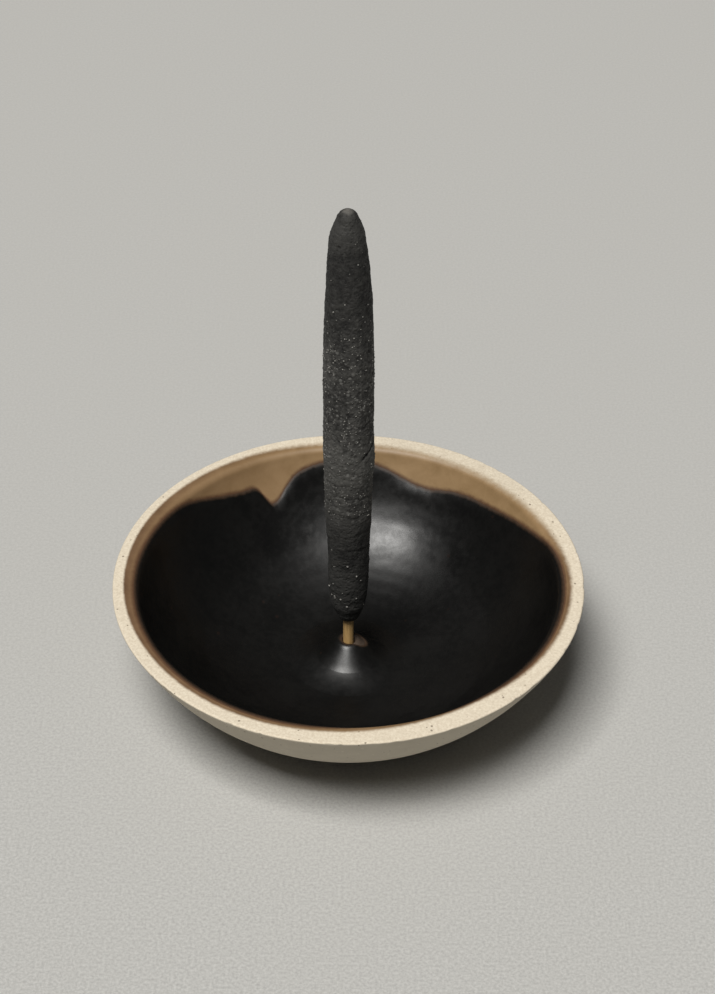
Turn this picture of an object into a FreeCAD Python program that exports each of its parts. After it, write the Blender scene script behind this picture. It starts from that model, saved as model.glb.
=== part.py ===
"""A hand-thrown incense burner: a shallow stoneware bowl with a glazed inside, and the incense stick that
stands in the little socketed nub at its centre.

Frame: millimetres, +Z up, origin at the middle of the foot, on the plane that the bowl stands on. The bowl is
turned about Z, and the stick stands on the same axis.
"""

import FreeCAD
import Part
import math
import os
import Sketcher
from FreeCAD import Vector

doc = FreeCAD.newDocument("IncenseBurner")

# --------------------------------------------------------------------------------------------------------
# Driving sizes, one cell each
# --------------------------------------------------------------------------------------------------------

SIZES = [
    ("rim_diameter", 108.5, "bowl, outside of the lip before its edge is rounded"),
    ("bowl_height", 30.0, "bowl, table to lip"),
    ("side_radius", 64.0, "bowl, curve of the outside wall"),
    ("lip_width", 5.5, "bowl, top of the lip before its inner edge is rounded"),
    ("lip_outer_round", 0.4, "bowl, crisp outer edge of the lip"),
    ("lip_inner_round", 2.0, "bowl, soft inner edge of the lip"),
    ("foot_diameter", 50.0, "bowl, outside of the foot ring"),
    ("foot_ring_width", 5.0, "bowl, flat that touches the table"),
    ("foot_recess", 1.0, "bowl, hollow turned under the foot"),
    ("foot_round", 0.6, "bowl, rubbed edge of the foot"),
    ("floor_thickness", 5.0, "bowl, table to the inside floor"),
    ("floor_radius", 10.0, "bowl, where the inside starts to rise into the wall"),
    ("floor_ring", 0.6, "bowl, level ring left round the foot of the nub"),
    ("nub_height", 6.0, "nub, above the inside floor"),
    ("nub_wall", 1.7, "nub, clay round the socket"),
    ("nub_round", 1.3, "nub, rounding of its top"),
    ("socket_depth", 7.5, "socket, down from the top of the nub"),
    ("socket_clearance", 0.25, "socket, gap round the bamboo"),
    ("socket_lead", 0.3, "socket, bevel at its mouth"),
    ("glaze_thickness", 0.4, "fired coat of black glaze"),
    ("core_diameter", 2.5, "bamboo core"),
    ("core_end_bevel", 0.3, "bamboo core, trimmed lower end"),
    ("core_cover", 12.0, "paste over the top of the bamboo"),
    ("seat_gap", 0.1, "bamboo above the bottom of the socket"),
    ("bare_stem", 7.2, "bamboo that shows above the nub"),
    ("paste_length", 111.8, "rolled paste, bottom to tip"),
    ("paste_diameter", 11.2, "rolled paste, thickest"),
    ("paste_thickest_at", 68.0, "rolled paste, thickest above its bottom"),
    ("paste_bottom_wall", 2.65, "rolled paste, on the bamboo at its lower end"),
    ("paste_bottom_round", 2.4, "rolled paste, pinched-in lower edge"),
    ("paste_shoulder_diameter", 9.0, "rolled paste, where the point begins"),
    ("paste_shoulder_drop", 13.5, "rolled paste, shoulder below the tip"),
    ("paste_tip_round", 2.9, "rolled paste, radius of the very tip"),
]

sheet = doc.addObject("Spreadsheet::Sheet", "Sizes")
for row, (alias, value, meaning) in enumerate(SIZES, start=1):
    sheet.set(f"A{row}", meaning)
    sheet.set(f"B{row}", str(value))
    sheet.setAlias(f"B{row}", alias)
doc.recompute()

# Where the black glaze stops round the inside: how far below the lip, in millimetres, at each angle in
# degrees. 0 is +X and 90 is +Y. It is high at the front and the sides, and low and ragged at the back, with
# one pointed notch.
GLAZE_LINE = [
    (-150, 1.3), (-125, 1.3), (-100, 1.4), (-75, 1.3), (-50, 1.4), (-25, 1.3), (-10, 1.3), (4, 1.3),
    (14, 1.6), (25, 2.6), (34, 3.8), (42, 4.5), (49, 4.8), (55, 5.3), (61, 5.8), (66, 6.3), (70, 6.1),
    (74, 5.4), (78, 4.6), (82, 3.6), (90, 2.9), (98, 3.2), (102, 3.8), (105.5, 4.9), (109, 6.4), (112, 8.3),
    (115, 9.3), (117.5, 8.2), (120.5, 6.1), (125, 5.2), (131, 4.2), (136, 3.0), (141, 1.9), (148, 1.4),
    (160, 1.3), (172, 1.4), (185, 1.5), (196, 1.4),
]


def mm(alias):
    """The number in the sheet's cell of that name."""
    return float(getattr(sheet, alias))


# --------------------------------------------------------------------------------------------------------
# Sketching
# --------------------------------------------------------------------------------------------------------

ORIGIN = (-1, 1)
X_AXIS = -1
Y_AXIS = -2
START, END, MIDDLE = 1, 2, 3


def new_sketch(body, name, role):
    """An empty sketch on one of the body's own origin planes."""
    sketch = body.newObject("Sketcher::SketchObject", name)
    plane = next(feature for feature in body.Origin.OriginFeatures if feature.Role == role)
    sketch.AttachmentSupport = [(plane, "")]
    sketch.MapMode = "FlatFace"
    return sketch


def add_line(sketch, start, end):
    return sketch.addGeometry(Part.LineSegment(Vector(*start, 0), Vector(*end, 0)), False)


def add_arc(sketch, centre, start, end):
    """An arc that runs anticlockwise from start to end."""
    circle = Part.Circle(Vector(*centre, 0), Vector(0, 0, 1), math.dist(centre, start))
    first = math.atan2(start[1] - centre[1], start[0] - centre[0])
    last = math.atan2(end[1] - centre[1], end[0] - centre[0])
    if last < first:
        last += 2 * math.pi
    return sketch.addGeometry(Part.ArcOfCircle(circle, first, last), False)


def bind(sketch, name, kind, where, drawn, formula):
    """A driving dimension of the sketch: as drawn at first, then tied to the sheet by its formula."""
    index = sketch.addConstraint(Sketcher.Constraint(kind, *where, drawn))
    sketch.renameConstraint(index, name)
    sketch.setExpression("Constraints." + name, formula)


def across(sketch, name, point, formula):
    bind(sketch, name, "DistanceX", (*ORIGIN, *point), sketch.getPoint(*point).x, formula)


def up(sketch, name, point, formula):
    bind(sketch, name, "DistanceY", (*ORIGIN, *point), sketch.getPoint(*point).y, formula)


def radius(sketch, name, arc, formula):
    bind(sketch, name, "Radius", (arc,), sketch.Geometry[arc].Radius, formula)


def join(sketch, *pairs):
    for first, second in pairs:
        sketch.addConstraint(Sketcher.Constraint("Coincident", *first, *second))


def add_circle(sketch, size):
    """A circle about the sketch's origin."""
    circle = sketch.addGeometry(Part.Circle(Vector(0, 0, 0), Vector(0, 0, 1), size), False)
    join(sketch, ((circle, MIDDLE), ORIGIN))
    return circle


def smooth(sketch, *pairs):
    """Joins ends so that one runs into the other with no corner."""
    for first, second in pairs:
        sketch.addConstraint(Sketcher.Constraint("Tangent", *first, *second))


# --------------------------------------------------------------------------------------------------------
# The bowl's inside line, used by the clay and by the glaze that lies on it
# --------------------------------------------------------------------------------------------------------

RING_INNER = "Sizes.foot_diameter / 2 - Sizes.foot_ring_width"
NUB_TOP = "Sizes.floor_thickness + Sizes.nub_height"
LIP_INNER = "Sizes.rim_diameter / 2 - Sizes.lip_width"
SOCKET_RADIUS = "Sizes.core_diameter / 2 + Sizes.socket_clearance"
NUB_RADIUS = SOCKET_RADIUS + " + Sizes.nub_wall"


def socket_radius():
    return mm("core_diameter") / 2 + mm("socket_clearance")


def nub_radius():
    return socket_radius() + mm("nub_wall")


def draw_inside(sketch):
    """Wall, floor, flare and crown of the nub, from the lip inwards. Returns the wall and the crown."""
    floor = mm("floor_thickness")
    floor_end = (mm("floor_radius"), floor)
    lip_inner = (mm("rim_diameter") / 2 - mm("lip_width"), mm("bowl_height"))
    run = lip_inner[0] - floor_end[0]
    rise = lip_inner[1] - floor
    wall_radius = (run**2 + rise**2) / (2 * rise)

    crown_round = mm("nub_round")
    crown_centre = (nub_radius() - crown_round, floor + mm("nub_height") - crown_round)
    nub_foot = (mm("floor_radius") - mm("floor_ring"), floor)
    run = nub_foot[0] - crown_centre[0]
    rise = crown_centre[1] - floor
    flare_radius = (run**2 + rise**2 - crown_round**2) / (2 * (rise + crown_round))
    flare_centre = (nub_foot[0], floor + flare_radius)
    share = crown_round / (crown_round + flare_radius)
    meet = tuple(c + share * (f - c) for c, f in zip(crown_centre, flare_centre))
    crown_top = (crown_centre[0], crown_centre[1] + crown_round)

    wall = add_arc(sketch, (floor_end[0], floor + wall_radius), floor_end, lip_inner)
    level = add_line(sketch, floor_end, nub_foot)
    flare = add_arc(sketch, flare_centre, meet, nub_foot)
    crown = add_arc(sketch, crown_centre, meet, crown_top)

    smooth(sketch, ((wall, START), (level, START)), ((level, END), (flare, END)))
    smooth(sketch, ((flare, START), (crown, START)))
    sketch.addConstraint(Sketcher.Constraint("Horizontal", level))
    sketch.addConstraint(Sketcher.Constraint("Vertical", crown, MIDDLE, crown, END))
    across(sketch, "lip_inner_radius", (wall, END), LIP_INNER)
    up(sketch, "lip_inner_height", (wall, END), "Sizes.bowl_height")
    across(sketch, "floor_edge", (level, START), "Sizes.floor_radius")
    up(sketch, "floor_level", (level, START), "Sizes.floor_thickness")
    across(sketch, "nub_foot_edge", (level, END), "Sizes.floor_radius - Sizes.floor_ring")
    radius(sketch, "crown_radius", crown, "Sizes.nub_round")
    across(sketch, "crown_edge", (crown, END), NUB_RADIUS + " - Sizes.nub_round")
    up(sketch, "crown_level", (crown, END), NUB_TOP)
    return wall, crown


# --------------------------------------------------------------------------------------------------------
# Bowl: thrown stoneware with its lip, foot ring, nub and socket in one piece of clay
# --------------------------------------------------------------------------------------------------------


def turned_edges(shape, at):
    """Names of the edges that are full circles about Z through that radius and height."""
    found = []
    for index, edge in enumerate(shape.Edges, start=1):
        if not isinstance(edge.Curve, Part.Circle):
            continue
        if math.dist((edge.Curve.Radius, edge.Curve.Center.z), at) < 0.01:
            found.append(f"Edge{index}")
    return found


def dress(body, kind, name, base, at, formula):
    """A fillet or chamfer on the turned edge at that radius and height."""
    edges = turned_edges(base.Shape, at)
    if not edges:
        raise RuntimeError(f"{name}: no edge at {at}")
    feature = body.newObject(kind, name)
    feature.Base = (base, edges)
    feature.setExpression("Radius" if kind.endswith("Fillet") else "Size", formula)
    doc.recompute()
    if abs(feature.Shape.Volume - base.Shape.Volume) < 1e-6:
        raise RuntimeError(f"{name}: it changed nothing")
    return feature


def make_bowl():
    body = doc.addObject("PartDesign::Body", "Bowl")
    body.Label = "bowl"

    rim = (mm("rim_diameter") / 2, mm("bowl_height"))
    foot = (mm("foot_diameter") / 2, 0.0)
    chord = math.dist(rim, foot)
    reach = math.sqrt(mm("side_radius") ** 2 - (chord / 2) ** 2)
    along = ((rim[0] - foot[0]) / chord, (rim[1] - foot[1]) / chord)
    side_centre = ((rim[0] + foot[0]) / 2 - reach * along[1], (rim[1] + foot[1]) / 2 + reach * along[0])
    recess = mm("foot_recess")
    ring_inner = foot[0] - mm("foot_ring_width")
    top = mm("floor_thickness") + mm("nub_height")

    section = new_sketch(body, "BowlSection", "XZ_Plane")
    wall, crown = draw_inside(section)
    side = add_arc(section, side_centre, foot, rim)
    lip = add_line(section, rim, (rim[0] - mm("lip_width"), rim[1]))
    ring = add_line(section, foot, (ring_inner, 0.0))
    slope = add_line(section, (ring_inner, 0.0), (ring_inner - recess, recess))
    under = add_line(section, (ring_inner - recess, recess), (0.0, recess))
    middle = add_line(section, (0.0, recess), (0.0, top))
    top_flat = add_line(section, (0.0, top), (nub_radius() - mm("nub_round"), top))

    join(
        section,
        ((side, END), (lip, START)),
        ((lip, END), (wall, END)),
        ((side, START), (ring, START)),
        ((ring, END), (slope, START)),
        ((slope, END), (under, START)),
        ((under, END), (middle, START)),
        ((middle, END), (top_flat, START)),
        ((top_flat, END), (crown, END)),
    )
    for edge in (lip, ring, under, top_flat):
        section.addConstraint(Sketcher.Constraint("Horizontal", edge))
    section.addConstraint(Sketcher.Constraint("PointOnObject", middle, START, Y_AXIS))
    section.addConstraint(Sketcher.Constraint("PointOnObject", middle, END, Y_AXIS))
    section.addConstraint(Sketcher.Constraint("PointOnObject", ring, START, X_AXIS))
    across(section, "rim_edge", (side, END), "Sizes.rim_diameter / 2")
    radius(section, "side_curve", side, "Sizes.side_radius")
    across(section, "foot_edge", (ring, START), "Sizes.foot_diameter / 2")
    across(section, "ring_edge", (ring, END), RING_INNER)
    across(section, "recess_edge", (slope, END), RING_INNER + " - Sizes.foot_recess")
    up(section, "recess_level", (slope, END), "Sizes.foot_recess")

    thrown = body.newObject("PartDesign::Revolution", "ThrownBowl")
    thrown.Profile = section
    thrown.ReferenceAxis = (section, ["V_Axis"])
    thrown.Angle = 360.0
    doc.recompute()

    mouth = new_sketch(body, "SocketMouth", "XY_Plane")
    mouth.setExpression("AttachmentOffset.Base.z", NUB_TOP)
    hole = add_circle(mouth, socket_radius())
    radius(mouth, "socket_radius", hole, SOCKET_RADIUS)
    socket = body.newObject("PartDesign::Pocket", "Socket")
    socket.Profile = mouth
    socket.setExpression("Length", "Sizes.socket_depth")
    doc.recompute()
    expected = math.pi * socket_radius() ** 2 * mm("socket_depth")
    if abs(thrown.Shape.Volume - socket.Shape.Volume - expected) > 0.01 * expected:
        raise RuntimeError("the socket isn't cut to its depth")

    fillet, chamfer = "PartDesign::Fillet", "PartDesign::Chamfer"
    lead = dress(body, chamfer, "SocketLead", socket, (socket_radius(), top), "Sizes.socket_lead")
    outer = dress(body, fillet, "LipOuterEdge", lead, rim, "Sizes.lip_outer_round")
    lip_inner = (rim[0] - mm("lip_width"), rim[1])
    inner = dress(body, fillet, "LipInnerEdge", outer, lip_inner, "Sizes.lip_inner_round")
    dress(body, fillet, "FootEdge", inner, foot, "Sizes.foot_round")
    return body


# --------------------------------------------------------------------------------------------------------
# Black glaze: one fused coat on the inside, up to a wandering edge
# --------------------------------------------------------------------------------------------------------


def glaze_outline():
    """The glaze line seen from above, a closed flat face. Each depth is read on the face of the coat."""
    floor_edge, floor = mm("floor_radius"), mm("floor_thickness")
    run = mm("rim_diameter") / 2 - mm("lip_width") - floor_edge
    rise = mm("bowl_height") - floor
    wall_radius = (run**2 + rise**2) / (2 * rise)
    coat_radius = wall_radius - mm("glaze_thickness")
    points = []
    for angle, depth in GLAZE_LINE:
        reach = floor_edge + math.sqrt(coat_radius**2 - (wall_radius - rise + depth) ** 2)
        turn = math.radians(angle)
        points.append(Vector(reach * math.cos(turn), reach * math.sin(turn), 0))
    knots = [float(angle) for angle, _ in GLAZE_LINE]
    knots.append(knots[0] + 360)
    line = Part.BSplineCurve()
    line.interpolate(Points=points, Parameters=knots, PeriodicFlag=True)
    edges = []
    for start, end in zip(knots, knots[1:]):
        stretch = line.copy()
        stretch.segment(start, end)
        edges.append(stretch.toShape())
    return Part.Face(Part.Wire(edges))


def make_black_glaze():
    line = doc.addObject("Sketcher::SketchObject", "GlazeSection")
    line.Placement = FreeCAD.Placement(Vector(0, 0, 0), FreeCAD.Rotation(Vector(1, 0, 0), 90))
    draw_inside(line)

    coat = doc.addObject("Part::Offset2D", "CoatSection")
    coat.Source = line
    coat.Mode = "Skin"
    coat.Join = "Arc"
    coat.Fill = True
    coat.setExpression("Value", "Sizes.glaze_thickness")

    dipped = doc.addObject("Part::Revolution", "DippedCoat")
    dipped.Source = coat
    dipped.Axis = Vector(0, 0, 1)
    dipped.Base = Vector(0, 0, 0)
    dipped.Angle = 360.0
    dipped.Solid = True

    reach = doc.addObject("Part::Feature", "GlazeReach")
    reach.Shape = glaze_outline().extrude(Vector(0, 0, 2 * mm("bowl_height")))

    glaze = doc.addObject("Part::MultiCommon", "BlackGlaze")
    glaze.Label = "black_glaze"
    glaze.Shapes = [dipped, reach]
    doc.recompute()
    wiped = dipped.Shape.cut(reach.Shape).Volume
    if abs(glaze.Shape.Volume + wiped - dipped.Shape.Volume) > 0.001 * dipped.Shape.Volume:
        raise RuntimeError("the glaze isn't wiped back to its line")
    return glaze


# --------------------------------------------------------------------------------------------------------
# Incense stick: a round bamboo core with paste rolled on it by hand
# --------------------------------------------------------------------------------------------------------

CORE_BOTTOM = NUB_TOP + " - Sizes.socket_depth + Sizes.seat_gap"
PASTE_BOTTOM = NUB_TOP + " + Sizes.bare_stem"
TIP = PASTE_BOTTOM + " + Sizes.paste_length"


def make_bamboo_core():
    body = doc.addObject("PartDesign::Body", "BambooCore")
    body.Label = "bamboo_core"
    round_section = new_sketch(body, "CoreSection", "XY_Plane")
    round_section.setExpression("AttachmentOffset.Base.z", CORE_BOTTOM)
    ring = add_circle(round_section, mm("core_diameter") / 2)
    radius(round_section, "core_radius", ring, "Sizes.core_diameter / 2")
    rod = body.newObject("PartDesign::Pad", "Rod")
    rod.Profile = round_section
    rod.setExpression("Length", f"({TIP}) - Sizes.core_cover - ({CORE_BOTTOM})")
    doc.recompute()
    bottom = mm("floor_thickness") + mm("nub_height") - mm("socket_depth") + mm("seat_gap")
    end = (mm("core_diameter") / 2, bottom)
    dress(body, "PartDesign::Chamfer", "TrimmedEnd", rod, end, "Sizes.core_end_bevel")
    return body


def make_incense_paste():
    body = doc.addObject("PartDesign::Body", "IncensePaste")
    body.Label = "incense_paste"
    bottom = mm("floor_thickness") + mm("nub_height") + mm("bare_stem")
    tip = bottom + mm("paste_length")

    low_round = mm("paste_bottom_round")
    low_side = (mm("core_diameter") / 2 + mm("paste_bottom_wall"), bottom + low_round)
    low_flat = (low_side[0] - low_round, bottom)
    widest = (mm("paste_diameter") / 2, bottom + mm("paste_thickest_at"))
    shoulder = (mm("paste_shoulder_diameter") / 2, tip - mm("paste_shoulder_drop"))

    def side_centre(end):
        """The centre of an arc that is upright at the widest place and passes through end."""
        taper, rise = widest[0] - end[0], widest[1] - end[1]
        return (widest[0] - (taper**2 + rise**2) / (2 * taper), widest[1])

    upper_centre = side_centre(shoulder)
    outward = Vector(shoulder[0] - upper_centre[0], shoulder[1] - upper_centre[1], 0).normalize()
    tip_round = mm("paste_tip_round")
    tip_centre = (0.0, tip - tip_round)
    reach = Vector(shoulder[0], shoulder[1] - tip_centre[1], 0)
    point_radius = (reach.Length**2 - tip_round**2) / (2 * (outward.dot(reach) - tip_round))
    point_centre = (shoulder[0] - point_radius * outward.x, shoulder[1] - point_radius * outward.y)
    away = Vector(tip_centre[0] - point_centre[0], tip_centre[1] - point_centre[1], 0).normalize()
    tip_meet = (tip_centre[0] + tip_round * away.x, tip_centre[1] + tip_round * away.y)

    section = new_sketch(body, "PasteSection", "XZ_Plane")
    base = add_line(section, (0.0, bottom), low_flat)
    heel = add_arc(section, (low_flat[0], low_side[1]), low_flat, low_side)
    lower = add_arc(section, side_centre(low_side), low_side, widest)
    upper = add_arc(section, upper_centre, widest, shoulder)
    point = add_arc(section, point_centre, shoulder, tip_meet)
    end = add_arc(section, tip_centre, tip_meet, (0.0, tip))
    axis = add_line(section, (0.0, tip), (0.0, bottom))

    smooth(section, ((base, END), (heel, START)), ((lower, END), (upper, START)))
    smooth(section, ((upper, END), (point, START)), ((point, END), (end, START)))
    join(section, ((heel, END), (lower, START)), ((end, END), (axis, START)), ((axis, END), (base, START)))
    section.addConstraint(Sketcher.Constraint("Horizontal", base))
    section.addConstraint(Sketcher.Constraint("PointOnObject", axis, START, Y_AXIS))
    section.addConstraint(Sketcher.Constraint("PointOnObject", axis, END, Y_AXIS))
    section.addConstraint(Sketcher.Constraint("PointOnObject", end, MIDDLE, Y_AXIS))
    section.addConstraint(Sketcher.Constraint("Horizontal", lower, MIDDLE, lower, END))
    up(section, "paste_bottom", (base, END), PASTE_BOTTOM)
    radius(section, "heel_radius", heel, "Sizes.paste_bottom_round")
    across(section, "heel_edge", (heel, END), "Sizes.core_diameter / 2 + Sizes.paste_bottom_wall")
    up(section, "heel_top", (heel, END), f"{PASTE_BOTTOM} + Sizes.paste_bottom_round")
    across(section, "widest_edge", (lower, END), "Sizes.paste_diameter / 2")
    up(section, "widest_level", (lower, END), f"{PASTE_BOTTOM} + Sizes.paste_thickest_at")
    across(section, "shoulder_edge", (upper, END), "Sizes.paste_shoulder_diameter / 2")
    up(section, "shoulder_level", (upper, END), f"{TIP} - Sizes.paste_shoulder_drop")
    radius(section, "tip_radius", end, "Sizes.paste_tip_round")
    up(section, "tip_level", (end, END), TIP)

    rolled = body.newObject("PartDesign::Revolution", "RolledPaste")
    rolled.Profile = section
    rolled.ReferenceAxis = (section, ["V_Axis"])
    rolled.Angle = 360.0
    doc.recompute()

    seat = new_sketch(body, "CoreSeat", "XY_Plane")
    seat.setExpression("AttachmentOffset.Base.z", f"{TIP} - Sizes.core_cover")
    ring = add_circle(seat, mm("core_diameter") / 2)
    radius(seat, "seat_radius", ring, "Sizes.core_diameter / 2")
    bore = body.newObject("PartDesign::Pocket", "CoreBore")
    bore.Profile = seat
    bore.setExpression("Length", "Sizes.paste_length - Sizes.core_cover")
    doc.recompute()
    expected = math.pi * (mm("core_diameter") / 2) ** 2 * (mm("paste_length") - mm("core_cover"))
    if abs(rolled.Shape.Volume - bore.Shape.Volume - expected) > 0.01 * expected:
        raise RuntimeError("the bore for the bamboo isn't cut to its depth")
    return body


# --------------------------------------------------------------------------------------------------------
# Build, check and write
# --------------------------------------------------------------------------------------------------------

pieces = [make_bowl(), make_black_glaze(), make_bamboo_core(), make_incense_paste()]
doc.recompute()

for item in doc.Objects:
    if "Invalid" in item.State or "Error" in item.State:
        raise RuntimeError(f"{item.Name} failed: {item.State}")
for item in doc.Objects:
    if item.TypeId == "Sketcher::SketchObject" and item.solve() != 0:
        raise RuntimeError(f"{item.Name} doesn't solve")
for piece in pieces:
    if piece.Shape.isNull() or not piece.Shape.isValid() or len(piece.Shape.Solids) != 1:
        raise RuntimeError(f"{piece.Label} isn't one valid solid")

os.makedirs("parts", exist_ok=True)
for piece in pieces:
    piece.Shape.exportStep(f"parts/{piece.Label}.step")
    box = piece.Shape.BoundBox
    print(f"{piece.Label}: {piece.Shape.Volume:.1f} mm3, z {box.ZMin:.2f} to {box.ZMax:.2f}")
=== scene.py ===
# %% [markdown]
# # An incense burner, thrown on a wheel, with a stick rolled by hand
#
# The real object is a shallow stoneware bowl. The potter throws bowl, lip and the small volcano-shaped nub in
# one piece of clay, dips the inside in black glaze, wipes the lip bare, and fires it once. A thick charcoal
# incense stick, rolled on a bamboo core, stands in the hole of the nub.
#
# We build four pieces over the measured frame: the clay, the glaze lying on it, the bamboo and the paste. A
# fifth holds the pale resin crumbs that catch the light on the paste. All of them are turned forms, so the
# lesson is about drawing an outline with mesh operators, spinning it, and then working the surface by hand.

import math
import random

import bmesh
import bpy
from mathutils import Matrix, Vector, noise


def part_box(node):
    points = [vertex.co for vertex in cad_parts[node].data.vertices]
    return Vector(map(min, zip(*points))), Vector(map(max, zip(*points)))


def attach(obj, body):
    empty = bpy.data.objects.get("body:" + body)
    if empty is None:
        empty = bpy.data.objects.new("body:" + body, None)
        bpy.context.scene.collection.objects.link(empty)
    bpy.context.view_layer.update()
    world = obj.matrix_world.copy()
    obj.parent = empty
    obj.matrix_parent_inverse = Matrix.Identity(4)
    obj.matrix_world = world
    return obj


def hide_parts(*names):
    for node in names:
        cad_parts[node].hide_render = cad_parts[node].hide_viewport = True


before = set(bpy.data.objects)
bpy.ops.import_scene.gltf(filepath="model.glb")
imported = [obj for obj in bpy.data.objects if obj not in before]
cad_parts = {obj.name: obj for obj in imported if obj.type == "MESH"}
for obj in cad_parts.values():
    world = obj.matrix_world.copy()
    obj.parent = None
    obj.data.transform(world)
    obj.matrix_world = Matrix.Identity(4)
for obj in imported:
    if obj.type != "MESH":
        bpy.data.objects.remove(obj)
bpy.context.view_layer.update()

# %% [markdown]
# ## Sizes
#
# Outlines are drawn in millimetres, because that is how a potter's profile rib is marked, and each finished
# mesh is scaled to metres. The overall sizes come from the frame's own boxes, so the pieces sit where the
# measured parts sit.

# %% Sizes from the frame
METRES = 0.001


def box_mm(node):
    """Lowest and highest corner of a measured part, in millimetres."""
    low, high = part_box(node)
    return low / METRES, high / METRES


bowl_low, bowl_high = box_mm("bowl")
core_low, core_high = box_mm("bamboo_core")
paste_low, paste_high = box_mm("incense_paste")
LIP_Z = bowl_high.z
RIM_R = bowl_high.x
CORE_R = core_high.x
PASTE_R = paste_high.x
print(f"bowl {2 * RIM_R:.1f} wide and {LIP_Z:.1f} high, stick tip at {paste_high.z:.1f} mm")

# %% [markdown]
# ## Drawing an outline
#
# A turned form is half of its section, spun round. The pen below starts from one vertex and grows the section
# with operators: a straight stroke extrudes the vertex, and a curved stroke spins it about the curve's
# centre, which gives true arcs with even steps and no sums.


# %% A pen for outlines
class Pen:
    """Draws a section in the XZ plane: X is the radius, Z the height, angles run from X towards Z."""

    def __init__(self, mesh, radius, height):
        self.mesh = mesh
        self.tip = mesh.verts.new((radius, 0, height))

    def line(self, radius, height, cuts=0):
        step = (Vector((radius, 0, height)) - self.tip.co) / (cuts + 1)
        for _ in range(cuts + 1):
            grown = bmesh.ops.extrude_vert_indiv(self.mesh, verts=[self.tip])["verts"]
            bmesh.ops.translate(self.mesh, vec=step, verts=grown)
            self.tip = grown[0]
        return self

    def arc(self, centre, degrees, steps):
        hub = (centre[0], 0, centre[1])
        turned = bmesh.ops.spin(
            self.mesh, geom=[self.tip], cent=hub, axis=(0, -1, 0), angle=math.radians(degrees), steps=steps
        )
        self.tip = next(item for item in turned["geom_last"] if isinstance(item, bmesh.types.BMVert))
        return self


def throw(mesh, steps):
    """Spins the drawn section into a closed body, welds its poles and points its faces outwards."""
    section = mesh.verts[:] + mesh.edges[:]
    bmesh.ops.spin(
        mesh, geom=section, cent=(0, 0, 0), axis=(0, 0, 1), angle=math.tau, steps=steps, use_merge=True
    )
    bmesh.ops.remove_doubles(mesh, verts=mesh.verts, dist=0.002)
    bmesh.ops.recalc_face_normals(mesh, faces=mesh.faces)
    mesh.verts.index_update()


# %% [markdown]
# ## Finishing a piece
#
# Each worked mesh becomes an object at the origin, shaded smooth, that rides on a body of the frame and
# stands for a measured part. Numbers that the finish needs at each point, such as the distance to the glaze
# line, travel with the mesh as named attributes.


# %% Object from a worked mesh
def finish_piece(mesh, name, finish, body, replaced=(), measures=None):
    """Scales the mesh to metres, makes the object and gives it its finish, body and attributes."""
    bmesh.ops.scale(mesh, vec=(METRES, METRES, METRES), verts=mesh.verts)
    data = bpy.data.meshes.new(name)
    mesh.to_mesh(data)
    mesh.free()
    for key, values in (measures or {}).items():
        layer = data.attributes.new(key, "FLOAT", "POINT")
        layer.data.foreach_set("value", values)
    data.polygons.foreach_set("use_smooth", [True] * len(data.polygons))
    data.materials.append(finish)
    piece = bpy.data.objects.new(name, data)
    bpy.context.scene.collection.objects.link(piece)
    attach(piece, body)
    if replaced:
        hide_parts(*replaced)
    low, high = box_of(data)
    print(f"{name}: {len(data.polygons)} faces, {high.x - low.x:.1f} x {high.z - low.z:.1f} mm")
    return piece


def box_of(data):
    """Lowest and highest corner of a mesh, in millimetres."""
    xs, ys, zs = zip(*(vertex.co for vertex in data.vertices))
    return Vector((min(xs), min(ys), min(zs))) / METRES, Vector((max(xs), max(ys), max(zs))) / METRES


# %% [markdown]
# ## A few tools for working a surface
#
# Hand work is never the same twice, but it is smooth. So every wobble comes from gradient noise read at the
# point itself, or from a short table of values round the bowl, eased from one to the next.


# %% Easing and noise
def ease(low, high, value):
    """0 below low, 1 above high, and a smooth step between them."""
    share = min(1.0, max(0.0, (value - low) / (high - low)))
    return share * share * (3 - 2 * share)


def ripple(point, size, seed=0.0):
    """Smooth noise between about -1 and 1, whose lumps are about that many millimetres across."""
    return noise.noise(Vector(point) / size + Vector((seed, 2.3 * seed, -1.7 * seed)))


def round_the_bowl(table, angle):
    """The table's value at that angle in degrees, on a smooth closed line through its pairs."""
    angle = (angle - table[0][0]) % 360 + table[0][0]
    last = len(table) - 1
    after = next((i for i, (at, _) in enumerate(table) if at > angle), last + 1)
    knots = []
    for step in (-2, -1, 0, 1):
        turns, index = divmod(after + step, last + 1)
        knots.append((table[index][0] + 360 * turns, table[index][1]))
    (a0, v0), (a1, v1), (a2, v2), (a3, v3) = knots
    share = (angle - a1) / (a2 - a1)
    slope1 = (v2 - v0) / (a2 - a0) * (a2 - a1)
    slope2 = (v3 - v1) / (a3 - a1) * (a2 - a1)
    cube, square = share**3, share**2
    return (
        (2 * cube - 3 * square + 1) * v1
        + (cube - 2 * square + share) * slope1
        + (3 * square - 2 * cube) * v2
        + (cube - square) * slope2
    )


# %% [markdown]
# ## The inside line
#
# Clay and glaze share one line: over the nub's round crown, down its straight flank, out along the flare that
# runs into the floor, up the wall and over the soft inner shoulder of the lip. Each stroke knows its own
# length, so a point can also slide along it later, which is how the glaze is run up to its wandering edge.


# %% The inside line's strokes
class Stroke:
    """One arc of the inside line. side is 1 where the air is outside the arc, -1 where it is inside."""

    def __init__(self, centre, radius, start, sweep, side):
        self.centre, self.radius = centre, radius
        self.start, self.sweep, self.side = start, sweep, side
        self.length = radius * math.radians(abs(sweep))

    def at(self, run):
        turn = math.radians(self.start + self.sweep * run / self.length)
        out = (math.cos(turn), math.sin(turn))
        spot = tuple(c + self.radius * o for c, o in zip(self.centre, out))
        return spot, tuple(self.side * o for o in out)


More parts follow.
